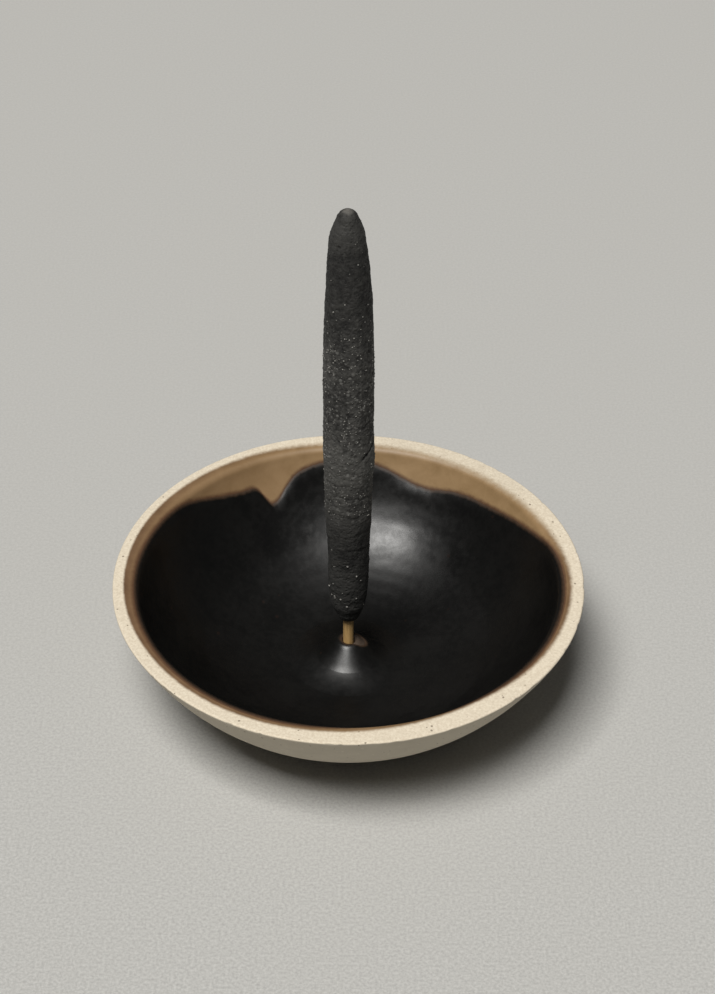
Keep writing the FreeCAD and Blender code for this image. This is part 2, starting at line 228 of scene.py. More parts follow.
FLOOR_Z = 5.0
FLOOR_R = 10.0
NUB_Z = 11.0
FLANK_SLOPE = 41.0
WALL_R = 42.53
WALL_HUB = (FLOOR_R, FLOOR_Z + WALL_R)
FLARE_R, FLARE_OUT = 11.26, 13.3
flare_lean = math.asin((FLARE_OUT - FLOOR_R) / (WALL_R - FLARE_R))
flare_hub = (FLARE_OUT, WALL_HUB[1] - (WALL_R - FLARE_R) * math.cos(flare_lean))
FLARE_TILT = math.degrees(flare_lean)
CROWN = Stroke((1.9, NUB_Z - 1.3), 1.3, 90, -FLANK_SLOPE, 1)
FLARE = Stroke(flare_hub, FLARE_R, 270 - FLANK_SLOPE, FLANK_SLOPE + FLARE_TILT, -1)
WALL = Stroke(WALL_HUB, WALL_R, 270 + FLARE_TILT, 63.98 - FLARE_TILT, -1)
SHOULDER = Stroke((50.02, LIP_Z - 2.0), 2.0, 153.98, -63.98, 1)
FLANK_TOP, FLANK_END = CROWN.at(CROWN.length)[0], FLARE.at(0.0)[0]
FLANK = math.dist(FLANK_TOP, FLANK_END)
NUB_RUN = CROWN.length + FLANK + FLARE.length
INSIDE = NUB_RUN + WALL.length + SHOULDER.length


def inside_at(run):
    """Place and outward direction on the inside line, that many millimetres from the top of the crown."""
    if run < 0:
        return (CROWN.centre[0] + run, NUB_Z), (0.0, 1.0)
    if run < CROWN.length:
        return CROWN.at(run)
    run -= CROWN.length
    if run < FLANK:
        place = tuple(a + (b - a) * run / FLANK for a, b in zip(FLANK_TOP, FLANK_END))
        return place, CROWN.at(CROWN.length)[1]
    run -= FLANK
    if run < FLARE.length:
        return FLARE.at(run)
    run -= FLARE.length
    if run < WALL.length:
        return WALL.at(run)
    return SHOULDER.at(min(run - WALL.length, SHOULDER.length))


print(f"inside line: {INSIDE:.1f} mm from the crown to the lip")

# %% [markdown]
# ## The marks of the hand
#
# A thrown rim is a little out of true: the inner edge leans to the back, the bowl is a hair oval, and the
# fingers leave shallow rings. Both clay and glaze go through the same function, so they stay in contact. It
# only ever draws the rim inwards and down, which keeps the bowl inside its measured box.


# %% Out-of-true by hand
LEAN = Vector((-0.05, 0.05, 0.0))


def by_hand(point):
    """Where a point of the true turned bowl ends up on the real one, in millimetres."""
    radius = math.hypot(point.x, point.y)
    angle = math.atan2(point.y, point.x)
    high = ease(12.0, LIP_Z, point.z)
    inner = 1 - ease(50.5, 53.6, radius)
    moved = point + LEAN * (high * inner)
    oval = 0.0012 * (0.5 + 0.5 * math.sin(2 * angle + 0.7)) * high
    moved.x *= 1 - oval
    moved.y *= 1 - oval
    sway = 0.5 + 0.5 * ripple((2 * math.cos(angle), 2 * math.sin(angle), 4.0), 1.6)
    moved.z -= 0.16 * sway * ease(20.0, LIP_Z, point.z)
    if 2.5 < point.z < 28.5 and radius > 12:
        rings = math.sin(1.9 * radius + 0.6 * angle) * ease(12, 20, radius)
        moved.z += 0.018 * rings
    return moved


# %% [markdown]
# ## Where the finishes meet
#
# Two lines wander round the bowl. The lip was sponged bare up to the first, the edge of the cream clay. Below
# it the clay keeps a toasted brown skin, and the black glaze starts at the second. It runs high at the front
# and the sides, and stops low and ragged at the back, with one pointed notch.

# %% The two lines round the bowl
BARE_EDGE = [
    (0, 51.5), (30, 50.5), (60, 50.4), (90, 51.0), (120, 51.9), (150, 52.0),
    (180, 51.7), (210, 51.3), (240, 51.2), (270, 50.6), (300, 49.9), (330, 51.0),
]
GLAZE_FULL = 49.7
# What each pass of the sponge took: its turn in degrees, how far it went in, and its spread before and after.
WIPES = [
    (22, 0.45, 9, 12), (48, 3.5, 28, 34), (68, 1.9, 10.5, 14), (115.5, 3.3, 6.5, 2.8), (122, 3.7, 32, 15),
    (140, 1.1, 12, 36), (195, 0.4, 30, 30), (282, 1.6, 20, 28),
]


def glaze_reach(angle):
    """How far out the glaze comes at that angle in degrees, after the wipes."""
    reach = GLAZE_FULL
    for turn, depth, before, after in WIPES:
        apart = (angle - turn + 180) % 360 - 180
        reach -= depth * math.exp(-((apart / (before if apart < 0 else after)) ** 2))
    return reach


def run_of_radius(radius):
    """How far along the inside line the wall or the shoulder has that radius."""
    join = WALL.at(WALL.length)[0][0]
    if radius < join:
        turn = math.asin((radius - WALL.centre[0]) / WALL.radius) - flare_lean
        return NUB_RUN + WALL.radius * turn
    turn = math.acos(min(1.0, (SHOULDER.centre[0] - radius) / SHOULDER.radius))
    return INSIDE - SHOULDER.radius * (math.pi / 2 - turn)


def glaze_top(angle):
    """The run at which the glaze ends at that angle in degrees, with the small raggedness of a wiped edge."""
    spot = (30 * math.cos(math.radians(angle)), 30 * math.sin(math.radians(angle)), 0)
    ragged = 0.16 * ripple(spot, 1.1, 5.0) + 0.10 * ripple(spot, 0.45, 9.0)
    low = ease(48.6, 46.5, glaze_reach(angle))
    return run_of_radius(glaze_reach(angle)) + ragged * (0.35 + 0.65 * low)


def glaze_foot(angle):
    """The run at which the glaze starts on the nub: it pulled off the crown's right side in firing."""
    pulled = max(0.0, math.cos(math.radians(angle - 4))) ** 3
    return -0.5 + 2.9 * pulled + 0.06 * math.sin(math.radians(3 * angle))


# How many millimetres the change from cream to brown takes, and how much painted shade darkens the inner
# shoulder and wall, 0 to 1, most on the left, which faces away from the light.
TOAST_WIDTH = [
    (0, 1.4), (30, 2.8), (60, 2.9), (90, 2.8), (115, 1.9), (135, 1.2),
    (160, 0.8), (210, 0.8), (270, 1.0), (300, 1.3), (330, 1.2),
]
PAINTED_SHADE_TABLE = [
    (0, 0.65), (30, 0.05), (60, 0.0), (90, 0.05), (115, 0.45), (140, 0.7), (165, 0.95),
    (190, 1.0), (215, 0.9), (245, 0.7), (270, 0.4), (300, 0.5), (330, 0.75),
]

reaches = [glaze_reach(angle) for angle in range(360)]
print(f"glaze ends between {min(reaches):.1f} and {max(reaches):.1f} mm out")

# %% [markdown]
# ## Node boards
#
# Every finish below is a small wiring board of nodes. The helper keeps the wiring readable: it places a node,
# sets what is fixed, and joins what is a socket.


# %% Wiring helper
class Board:
    def __init__(self, tree):
        self.tree = tree

    def put(self, kind, sockets=None, **settings):
        """Places a node. A socket value may be another node's output, which is then joined to it."""
        node = self.tree.nodes.new("ShaderNode" + kind)
        for key, value in settings.items():
            setattr(node, key, value)
        for key, value in (sockets or {}).items():
            if isinstance(value, bpy.types.NodeSocket):
                self.tree.links.new(value, node.inputs[key])
            else:
                node.inputs[key].default_value = value
        return node

    def sum(self, operation, first, second=0.0, clamp=False):
        node = self.put("Math", {0: first, 1: second}, operation=operation, use_clamp=clamp)
        return node.outputs[0]

    def span(self, value, low, high, to_low=0.0, to_high=1.0):
        """Maps a value from one range to another with a smooth step."""
        sockets = {"Value": value, "From Min": low, "From Max": high, "To Min": to_low, "To Max": to_high}
        return self.put("MapRange", sockets, interpolation_type="SMOOTHSTEP").outputs["Result"]

    def noise(self, vector, scale, detail=3.0, roughness=0.55, distortion=0.0):
        sockets = {"Vector": vector, "Scale": scale, "Detail": detail, "Roughness": roughness}
        sockets["Distortion"] = distortion
        return self.put("TexNoise", sockets).outputs["Fac"]

    def mix(self, share, first, second):
        """A colour between two others. A colour is a socket or red, green and blue."""
        sockets = {0: share}
        for key, colour in ((6, first), (7, second)):
            sockets[key] = colour if isinstance(colour, bpy.types.NodeSocket) else (*colour, 1.0)
        return self.put("Mix", sockets, data_type="RGBA", clamp_factor=True).outputs[2]

    def use(self, group, sockets):
        node = self.put("Group", None)
        node.node_tree = group
        for key, value in sockets.items():
            if isinstance(value, bpy.types.NodeSocket):
                self.tree.links.new(value, node.inputs[key])
            else:
                node.inputs[key].default_value = value
        return node

    def millimetres(self):
        """Object coordinates, in millimetres."""
        place = self.put("TexCoord").outputs["Object"]
        sockets = {0: place, "Scale": 1 / METRES}
        return self.put("VectorMath", sockets, operation="SCALE").outputs["Vector"]

    def measure(self, name):
        return self.put("Attribute", None, attribute_name=name).outputs["Fac"]


def new_group(name, inputs, outputs):
    """An empty node group with named sockets. Returns the group, its board, its inputs and a way out."""
    group = bpy.data.node_groups.new(name, "ShaderNodeTree")
    kinds = {"vector": "NodeSocketVector", "value": "NodeSocketFloat", "colour": "NodeSocketColor"}
    for key, (kind, default) in inputs.items():
        socket = group.interface.new_socket(key, in_out="INPUT", socket_type=kinds[kind])
        if default is not None:
            socket.default_value = default
    for key, kind in outputs.items():
        group.interface.new_socket(key, in_out="OUTPUT", socket_type=kinds[kind])
    source = group.nodes.new("NodeGroupInput")
    sink = group.nodes.new("NodeGroupOutput")
    return group, Board(group), source.outputs, sink.inputs


def new_finish(name):
    """An empty material with its shader, and a board to wire it on."""
    finish = bpy.data.materials.new(name)
    finish.use_nodes = True
    shader = finish.node_tree.nodes["Principled BSDF"]
    return finish, Board(finish.node_tree), shader


# %% [markdown]
# ## Shared effects
#
# Fired clay, glaze, bamboo and paste all show the same three things at different sizes: a fine grain,
# scattered specks, and soft blotches. Each is a node group, made once and placed in each finish with its own
# values.

# %% Fine grain: one tone and one height
fine_grain, board, given, out = new_group(
    "fine_grain",
    {"Vector": ("vector", None), "Size": ("value", 1.0), "Depth": ("value", 1.0)},
    {"Tone": "value", "Height": "value"},
)
scale = board.sum("DIVIDE", 1.0, given["Size"])
coarse = board.noise(given["Vector"], scale, 5.0, 0.7)
board.tree.links.new(board.span(coarse, 0.3, 0.7), out["Tone"])
pits = board.put("TexVoronoi", {"Vector": given["Vector"], "Scale": board.sum("MULTIPLY", scale, 1.6)})
relief = board.sum("MULTIPLY_ADD", coarse, 0.7)
relief.node.inputs[2].default_value = 0.0
dip = board.span(pits.outputs["Distance"], 0.05, 0.5)
height = board.sum("ADD", relief, board.sum("MULTIPLY", dip, 0.3))
board.tree.links.new(board.sum("MULTIPLY", height, given["Depth"]), out["Height"])

# %% Scattered specks: round spots in a share of the cells
specks, board, given, out = new_group(
    "specks",
    {"Vector": ("vector", None), "Spacing": ("value", 2.0), "Size": ("value", 0.2), "Share": ("value", 0.3)},
    {"Mask": "value"},
)
warp = board.put("TexNoise", {"Vector": given["Vector"], "Scale": 1.3})
bent = board.put("VectorMath", {0: warp.outputs["Color"], "Scale": 0.35}, operation="SCALE")
place = board.put("VectorMath", {0: given["Vector"], 1: bent.outputs[0]}, operation="ADD")
scale = board.sum("DIVIDE", 1.0, given["Spacing"])
cells = board.put("TexVoronoi", {"Vector": place.outputs[0], "Scale": scale})
chosen = board.put("SeparateColor", {"Color": cells.outputs["Color"]})
apart = board.sum("MULTIPLY", cells.outputs["Distance"], given["Spacing"])
varied = board.sum("MULTIPLY", given["Size"], board.sum("ADD", chosen.outputs["Green"], 0.35))
spot = board.sum("SUBTRACT", 1.0, board.sum("DIVIDE", apart, varied), clamp=True)
kept = board.sum("LESS_THAN", chosen.outputs["Red"], given["Share"])
board.tree.links.new(board.sum("MULTIPLY", board.span(spot, 0.0, 0.45), kept), out["Mask"])

# %% Soft blotches: slow change from place to place
blotches, board, given, out = new_group(
    "blotches",
    {"Vector": ("vector", None), "Size": ("value", 10.0), "Contrast": ("value", 1.0)},
    {"Fac": "value"},
)
scale = board.sum("DIVIDE", 1.0, given["Size"])
slow = board.noise(given["Vector"], scale, 3.0, 0.6, 0.4)
swing = board.sum("MULTIPLY", board.sum("SUBTRACT", slow, 0.5), given["Contrast"])
board.tree.links.new(board.sum("ADD", swing, 0.5, clamp=True), out["Fac"])

# %% A wavering border: 0 on one side of a distance, 1 on the other
border, board, given, out = new_group(
    "border",
    {
        "Vector": ("vector", None), "Distance": ("value", 0.0), "Start": ("value", 0.0),
        "Width": ("value", 1.0), "Waver": ("value", 0.2), "Size": ("value", 1.0),
    },
    {"Mask": "value"},
)
scale = board.sum("DIVIDE", 1.0, given["Size"])
waver = board.noise(given["Vector"], scale, 4.0, 0.65)
shift = board.sum("MULTIPLY", board.sum("SUBTRACT", waver, 0.5), given["Waver"])
along = board.sum("SUBTRACT", board.sum("ADD", given["Distance"], shift), given["Start"])
board.tree.links.new(board.span(board.sum("DIVIDE", along, given["Width"]), 0.0, 1.0), out["Mask"])
print("groups:", [group.name for group in bpy.data.node_groups])

# %% [markdown]
# ## Stoneware finish
#
# Bare iron-speckled clay fires to a dry cream on the sponged lip, where the grog stands up as sand, and a
# smoother buff on the turned outside. Inside, past the bare edge, the clay has a thin brown skin where the
# glaze was wiped: honey on the wall, darker and redder close to the black. The masks come from measures that
# the mesh carries, such as the distance past the bare edge, the distance to the glaze line and a painted
# shade that darkens the shoulder and wall on the side turned away from the light.

# %% Stoneware
stoneware, board, shader = new_finish("fired_stoneware")
place = board.millimetres()
past_edge = board.measure("past_edge")
toasted = board.measure("toasted")
painted_shade = board.measure("painted_shade")
to_glaze = board.measure("to_glaze")
on_lip = board.measure("on_lip")

sand = board.use(fine_grain, {"Vector": place, "Size": 0.55, "Depth": 1.0}).outputs
body = board.use(blotches, {"Vector": place, "Size": 7.0, "Contrast": 1.6}).outputs["Fac"]
cream = board.mix(sand["Tone"], (0.50, 0.43, 0.33), (0.63, 0.56, 0.445))
buff = board.mix(body, (0.455, 0.405, 0.32), (0.52, 0.465, 0.37))
clay = board.mix(on_lip, buff, cream)
pale = board.use(specks, {"Vector": place, "Spacing": 1.1, "Size": 0.3, "Share": 0.35}).outputs["Mask"]
clay = board.mix(board.sum("MULTIPLY", pale, 0.3), clay, (0.72, 0.66, 0.55))
iron = board.use(specks, {"Vector": place, "Spacing": 1.3, "Size": 0.26, "Share": 0.22}).outputs["Mask"]
clay = board.mix(board.sum("MULTIPLY", iron, 0.75), clay, (0.10, 0.07, 0.045))

toast = board.use(
    border,
    {"Vector": place, "Distance": toasted, "Start": -0.25, "Width": 1.0, "Waver": 0.5, "Size": 1.2},
).outputs["Mask"]
deep = board.use(
    border,
    {"Vector": place, "Distance": past_edge, "Start": 0.6, "Width": 2.2, "Waver": 1.0, "Size": 3.0},
).outputs["Mask"]
honey = board.use(blotches, {"Vector": place, "Size": 5.0, "Contrast": 2.2}).outputs["Fac"]
shoulder_tone = board.mix(honey, (0.095, 0.052, 0.025), (0.155, 0.090, 0.046))
wall_tone = board.mix(honey, (0.215, 0.134, 0.060), (0.285, 0.185, 0.092))

# Painted shade: where the painted shade is high, most on the left, the wall tone darkens and the shoulder
# takes the darker shoulder tone; where it is low, both keep the wall tone.
wall_tone = board.mix(board.sum("MULTIPLY", painted_shade, 0.75), wall_tone, (0.135, 0.077, 0.038))
shoulder_tone = board.mix(painted_shade, wall_tone, shoulder_tone)
skin = board.mix(deep, shoulder_tone, wall_tone)
near = board.use(
    border,
    {"Vector": place, "Distance": to_glaze, "Start": -0.1, "Width": 1.3, "Waver": 0.8, "Size": 1.5},
).outputs["Mask"]
skin = board.mix(near, (0.075, 0.036, 0.018), skin)
height = board.put("SeparateXYZ", {"Vector": place}).outputs["Z"]
skin = board.mix(board.span(height, 13.0, 11.5), skin, (0.062, 0.044, 0.032))
colour = board.mix(toast, clay, skin)
board.tree.links.new(colour, shader.inputs["Base Color"])

dry = board.span(toast, 0.0, 1.0, 0.88, 0.5)
board.tree.links.new(dry, shader.inputs["Roughness"])
relief = board.sum("MULTIPLY", sand["Height"], board.sum("ADD", board.sum("MULTIPLY", on_lip, 0.8), 0.12))
bump = board.put("Bump", {"Height": relief, "Strength": 0.55, "Distance": 0.00012})
board.tree.links.new(bump.outputs["Normal"], shader.inputs["Normal"])
shader.inputs["IOR"].default_value = 1.45

# %% [markdown]
# ## The bowl
#
# Clay first. The section runs from the socket, over the nub, along the inside line, across the lip, down the
# outside and under the foot ring. Rings are close together only where clay shows. The sand, the nicks in the
# crisp outer edge and the hand's wobble are worked into the mesh itself, so the outline shows them too.

# %% Throw the bowl
SOCKET_R, SOCKET_Z = 1.5, 3.5
OUTSIDE = (-3.67, 57.2)
mesh = bmesh.new()
pen = Pen(mesh, 0, SOCKET_Z)
pen.line(SOCKET_R, SOCKET_Z).line(SOCKET_R, NUB_Z - 0.3, 3).line(SOCKET_R + 0.3, NUB_Z)
pen.line(CROWN.centre[0], NUB_Z)
pen.arc(CROWN.centre, CROWN.sweep, 6).line(*FLANK_END, 3).arc(FLARE.centre, FLARE.sweep, 8)
low_share = 0.62
pen.arc(WALL.centre, WALL.sweep * low_share, 16).arc(WALL.centre, WALL.sweep * (1 - low_share), 44)
pen.arc(SHOULDER.centre, SHOULDER.sweep, 10).line(RIM_R - 0.4, LIP_Z, 16)
pen.arc((RIM_R - 0.4, LIP_Z - 0.4), -115.7, 6)
pen.arc(OUTSIDE, -37.5, 46).arc((pen.tip.co.x - 0.27, 0.6), -26.8, 3)
pen.tip.co.z = 0.0
pen.line(20.0, 0.0, 3).line(19.0, 1.0, 1).line(0.0, 1.0, 8)
throw(mesh, 480)
print(f"bowl: {len(mesh.verts)} points, {len(mesh.faces)} faces")

# %% Work the clay
past_edge, to_glaze, on_lip, toasted, painted_shade = [], [], [], [], []
for vertex in mesh.verts:
    x, y, z = vertex.co
    radius = math.hypot(x, y)
    angle = math.degrees(math.atan2(y, x))
    wall = math.sqrt(max(0.0, WALL.radius**2 - (WALL.centre[1] - min(z, LIP_Z)) ** 2)) + FLOOR_R
    inside = z > 10.5 and radius < 50.1 and radius < wall + 1.3 or z <= 10.5 and z > 3.4 and radius < 32
    edge = round_the_bowl(BARE_EDGE, angle)
    if inside and radius > FLOOR_R:
        here = run_of_radius(radius)
        past_edge.append(edge - SHOULDER.centre[0] + INSIDE - here)
        to_glaze.append(here - run_of_radius(glaze_reach(angle)))
    else:
        past_edge.append(edge - radius if z > LIP_Z - 0.05 else -9.0)
        to_glaze.append(9.0)
    if radius < 6 and z > 7:
        past_edge[-1], to_glaze[-1] = 9.0, 0.25
    toasted.append(past_edge[-1] / round_the_bowl(TOAST_WIDTH, angle))
    # Painted shade round the bowl, carried to the finish as a measure.
    painted_shade.append(round_the_bowl(PAINTED_SHADE_TABLE, angle))
    lip = ease(LIP_Z - 0.5, LIP_Z - 0.15, z) * ease(49.0, 50.2, radius)
    on_lip.append(lip)
    place = vertex.co.copy()
    nick = ease(0.25, 0.62, ripple(place, 1.3, 3.0)) * ease(RIM_R - 0.7, RIM_R - 0.1, radius)
    pull = 1 - 0.0035 * nick * ease(LIP_Z - 1.6, LIP_Z - 0.5, z)
    worked = by_hand(place)
    worked.x *= pull
    worked.y *= pull
    worked.z += lip * (0.035 * ripple(place, 0.9, 11.0) - 0.045 + 0.03 * ripple(place, 4.0, 2.0))
    vertex.co = worked

bowl = finish_piece(
    mesh,
    "stoneware_bowl",
    stoneware,
    "bowl_body",
    ["bowl"],
    {"past_edge": past_edge, "toasted": toasted, "painted_shade": painted_shade, "to_glaze": to_glaze, "on_lip": on_lip},
)

# %% [markdown]
# ## Black glaze finish
#
# The glaze is a satin iron black. Where it lies thick it is nearly pure black, with slow blotches in its
# gloss, faint stony mottling and a fine orange peel. Where it thins, at its edge and on the nub's crown, it
# breaks to brown. The gloss lives in the roughness, so it follows the light and not the view.

# %% Black glaze
glaze_finish, board, shader = new_finish("black_satin_glaze")
place = board.millimetres()
thin = board.measure("from_edge")
slow = board.use(blotches, {"Vector": place, "Size": 9.0, "Contrast": 1.8}).outputs["Fac"]
mottle = board.use(blotches, {"Vector": place, "Size": 1.6, "Contrast": 2.0}).outputs["Fac"]
peel = board.use(fine_grain, {"Vector": place, "Size": 1.1, "Depth": 1.0}).outputs
black = board.mix(slow, (0.0012, 0.0012, 0.0012), (0.0036, 0.0035, 0.0031))
black = board.mix(board.sum("MULTIPLY", mottle, 0.35), black, (0.0055, 0.0050, 0.0044))
rust = board.use(specks, {"Vector": place, "Spacing": 3.4, "Size": 0.5, "Share": 0.16}).outputs["Mask"]
black = board.mix(board.sum("MULTIPLY", rust, 0.25), black, (0.022, 0.010, 0.006))
broken = board.use(
    border,
    {"Vector": place, "Distance": thin, "Start": -0.1, "Width": 1.1, "Waver": 0.7, "Size": 0.9},
).outputs["Mask"]
colour = board.mix(broken, (0.045, 0.024, 0.012), black)
board.tree.links.new(colour, shader.inputs["Base Color"])
patches = board.sum("ADD", board.sum("MULTIPLY", slow, 0.5), board.sum("MULTIPLY", mottle, 0.5))
gloss = board.span(patches, 0.2, 0.8)
height = board.put("SeparateXYZ", {"Vector": place}).outputs["Z"]
near_floor = board.span(height, FLOOR_Z + 6.6, FLOOR_Z + 8.0, 0.07, 0.0)
satin = board.sum("ADD", board.span(gloss, 0.0, 1.0, 0.28, 0.34), near_floor)
dry_edge = board.sum("MULTIPLY", board.sum("SUBTRACT", 1.0, broken), 0.3)
board.tree.links.new(board.sum("ADD", satin, dry_edge), shader.inputs["Roughness"])
swell = board.noise(place, 0.16, 2.0, 0.5)
relief = board.sum("ADD", board.sum("MULTIPLY", peel["Height"], 0.05), board.sum("MULTIPLY", swell, 0.9))
bump = board.put("Bump", {"Height": relief, "Strength": 0.5, "Distance": 0.00022})
board.tree.links.new(bump.outputs["Normal"], shader.inputs["Normal"])
shader.inputs["IOR"].default_value = 1.5
shader.inputs["Specular IOR Level"].default_value = 0.36

# %% [markdown]
# ## The coat of glaze
#
# The glaze is a real skin, a third of a millimetre thick, and it thins away towards its edges. One section is
# drawn along the inside line, out on its face and back underneath, and spun. Each ring then slides along the
# inside line to meet the glaze's own edge at its angle, and the skin swells to its thickness.

# %% Lay the glaze
COAT = 0.34
mesh = bmesh.new()
run_layer = mesh.verts.layers.float.new("run")
face_layer = mesh.verts.layers.float.new("face")
FACE_RUNS = [0, 0.05, 0.14, 0.28, 0.45, 0.7, 1.0, 1.4, 1.9]
FACE_RUNS += [2.4 + (NUB_RUN - 2.4) * i / 22 for i in range(23)]
EDGE_STEPS = [3.4, 2.6, 2.0, 1.5, 1.1, 0.8, 0.55, 0.35, 0.2, 0.1, 0.04, 0.0]
CLIMB = INSIDE - NUB_RUN
FACE_RUNS += [NUB_RUN + (CLIMB - 4.2) * i / 42 for i in range(1, 43)]
FACE_RUNS += [INSIDE - step for step in EDGE_STEPS]
BACK_RUNS = [INSIDE - 2, INSIDE - 6] + [NUB_RUN + CLIMB * i / 8 for i in range(7, -1, -1)] + [6.0, 3.0, 1.0]
pen = None
for runs, face in ((FACE_RUNS, 1.0), (BACK_RUNS, 0.0)):
    for run in runs:
        (radius, height), _ = inside_at(run)
        pen = Pen(mesh, radius, height) if pen is None else pen.line(radius, height)
        pen.tip[run_layer], pen.tip[face_layer] = run, face
mesh.verts.ensure_lookup_table()
mesh.edges.new((pen.tip, mesh.verts[0]))
section = mesh.verts[:] + mesh.edges[:]
bmesh.ops.spin(mesh, geom=section, cent=(0, 0, 0), axis=(0, 0, 1), angle=math.tau, steps=720, use_merge=True)
print(f"glaze: {len(mesh.verts)} points, {len(mesh.faces)} faces")

# %% Run it up to its edges
from_edge = []
edges_at = {}
for vertex in mesh.verts:
    angle = round(math.degrees(math.atan2(vertex.co.y, vertex.co.x)) * 4) / 4
    if angle not in edges_at:
        edges_at[angle] = (glaze_foot(angle), glaze_top(angle))
    foot, top = edges_at[angle]
    run = vertex[run_layer]
    if run < NUB_RUN:
        run = foot + run * (NUB_RUN - foot) / NUB_RUN
    elif run > NUB_RUN:
        run = NUB_RUN + (run - NUB_RUN) * (top - NUB_RUN) / CLIMB
    inner = min(run - foot, top - run)
    share = min(1.0, inner / (0.7 if run < NUB_RUN else 3.0))
    thick = COAT * share * (2 - share) * vertex[face_layer] - 0.03 * (1 - vertex[face_layer])
    (radius, height), (out_r, out_z) = inside_at(run)
    radius = max(radius + out_r * thick, CORE_R + 0.12)
    height += out_z * thick
    turn = math.radians(angle)
    vertex.co = by_hand(Vector((radius * math.cos(turn), radius * math.sin(turn), height)))
    from_edge.append(inner)
bmesh.ops.recalc_face_normals(mesh, faces=mesh.faces)
measures = {"from_edge": from_edge}
glaze = finish_piece(
    mesh, "black_glaze_coat", glaze_finish, "bowl_body", ["black_glaze"], measures
)

# %% [markdown]
# ## Bamboo core
#
# The core is split bamboo drawn round: straight fibres run its whole length and it is faintly faceted. A
# circle is extruded to length, cut into short lengths, and its sides are pressed in along the fibres.

# %% Bamboo finish
bamboo_finish, board, shader = new_finish("split_bamboo")
place = board.millimetres()
drawn = board.put("Mapping", {"Vector": place, "Scale": (1.0, 1.0, 0.05)}).outputs["Vector"]
fibre = board.use(fine_grain, {"Vector": drawn, "Size": 0.35, "Depth": 1.0}).outputs
stain = board.use(blotches, {"Vector": place, "Size": 2.2, "Contrast": 1.6}).outputs["Fac"]
straw = board.mix(fibre["Tone"], (0.34, 0.205, 0.078), (0.68, 0.45, 0.19))
straw = board.mix(board.sum("MULTIPLY", stain, 0.4), straw, (0.44, 0.27, 0.10))
# Painted shadow: the core goes nearly black just below the paste, where the paste shades it.
core_height = board.put("SeparateXYZ", {"Vector": place}).outputs["Z"]
shadow_under_paste = board.span(core_height, paste_low.z - 1.1, paste_low.z - 0.1)
straw = board.mix(board.sum("MULTIPLY", shadow_under_paste, 0.75), straw, (0.02, 0.016, 0.012))
board.tree.links.new(straw, shader.inputs["Base Color"])
board.tree.links.new(board.span(fibre["Tone"], 0.0, 1.0, 0.62, 0.42), shader.inputs["Roughness"])
bump = board.put("Bump", {"Height": fibre["Height"], "Strength": 0.6, "Distance": 0.00008})
board.tree.links.new(bump.outputs["Normal"], shader.inputs["Normal"])

# %% Draw the bamboo
mesh = bmesh.new()
ring = bmesh.ops.create_circle(mesh, cap_ends=True, segments=48, radius=CORE_R)
bmesh.ops.translate(mesh, vec=(0, 0, core_low.z), verts=mesh.verts)
grown = bmesh.ops.extrude_face_region(mesh, geom=mesh.faces[:])
top = [item for item in grown["geom"] if isinstance(item, bmesh.types.BMVert)]
bmesh.ops.translate(mesh, vec=(0, 0, core_high.z - core_low.z), verts=top)
bmesh.ops.recalc_face_normals(mesh, faces=mesh.faces)
ends = [e for e in mesh.edges if abs(e.verts[0].co.z - e.verts[1].co.z) < 0.01 and e.verts[0].co.z < 10]
bmesh.ops.bevel(
    mesh, geom=ends, offset=0.3, offset_type="OFFSET", segments=2, profile=0.5, affect="EDGES", material=-1
)
upright = [e for e in mesh.edges if abs(e.verts[0].co.z - e.verts[1].co.z) > 20]
bmesh.ops.subdivide_edges(mesh, edges=upright, cuts=110, use_grid_fill=True)
for vertex in mesh.verts:
    angle = math.atan2(vertex.co.y, vertex.co.x)
    groove = 0.045 * (0.5 + 0.5 * ripple((6 * math.cos(angle), 6 * math.sin(angle), vertex.co.z / 30), 1.2))
    facet = 0.03 * (0.5 + 0.5 * math.cos(5 * angle + 1.0))
    pressed = 1 - (groove + facet) / CORE_R
    vertex.co.x *= pressed
    vertex.co.y *= pressed
bamboo = finish_piece(mesh, "bamboo_stem", bamboo_finish, "stick", ["bamboo_core"])

# %% [markdown]
# ## Incense finish
#
# The paste is charcoal, wood powder and resin, rolled while damp. Dry, it is a dull near-black with a sandy
# tooth: brown-grey dust on the high spots, pale grains, and more of them in the lower half. The very tip is
# lighter grey.

# %% Incense paste
paste_finish, board, shader = new_finish("charcoal_incense")
place = board.millimetres()
up = board.put("SeparateXYZ", {"Vector": place}).outputs["Z"]
grit = board.use(fine_grain, {"Vector": place, "Size": 1.15, "Depth": 1.0}).outputs
powder = board.use(blotches, {"Vector": place, "Size": 2.4, "Contrast": 2.6}).outputs["Fac"]
gritty = board.sum("MULTIPLY", board.span(up, 110.0, 88.0), board.span(up, 46.0, 60.0))
dark = board.mix(gritty, (0.0030, 0.0029, 0.0028), (0.0036, 0.0035, 0.0033))
dusty = board.mix(gritty, (0.0200, 0.0197, 0.0182), (0.0560, 0.0548, 0.0510))
coal = board.mix(grit["Tone"], dark, dusty)
coal = board.mix(board.sum("MULTIPLY", powder, 0.35), coal, (0.026, 0.025, 0.023))
proud = board.measure("proud")
dustiest = board.sum("ADD", board.sum("MULTIPLY", gritty, 0.5), 0.22)
dust = board.sum("MULTIPLY", board.span(proud, 0.3, 1.0), dustiest)
coal = board.mix(dust, coal, (0.078, 0.076, 0.070))
grains = board.use(specks, {"Vector": place, "Spacing": 0.85, "Size": 0.42, "Share": 0.5}).outputs["Mask"]
rich = board.use(blotches, {"Vector": place, "Size": 5.0, "Contrast": 1.8}).outputs["Fac"]
middle = board.sum("ADD", board.sum("MULTIPLY", gritty, 0.88), 0.12)
grains = board.sum("MULTIPLY", grains, board.sum("MULTIPLY", rich, middle))
coal = board.mix(board.sum("MULTIPLY", grains, 0.8), coal, (0.175, 0.171, 0.160))
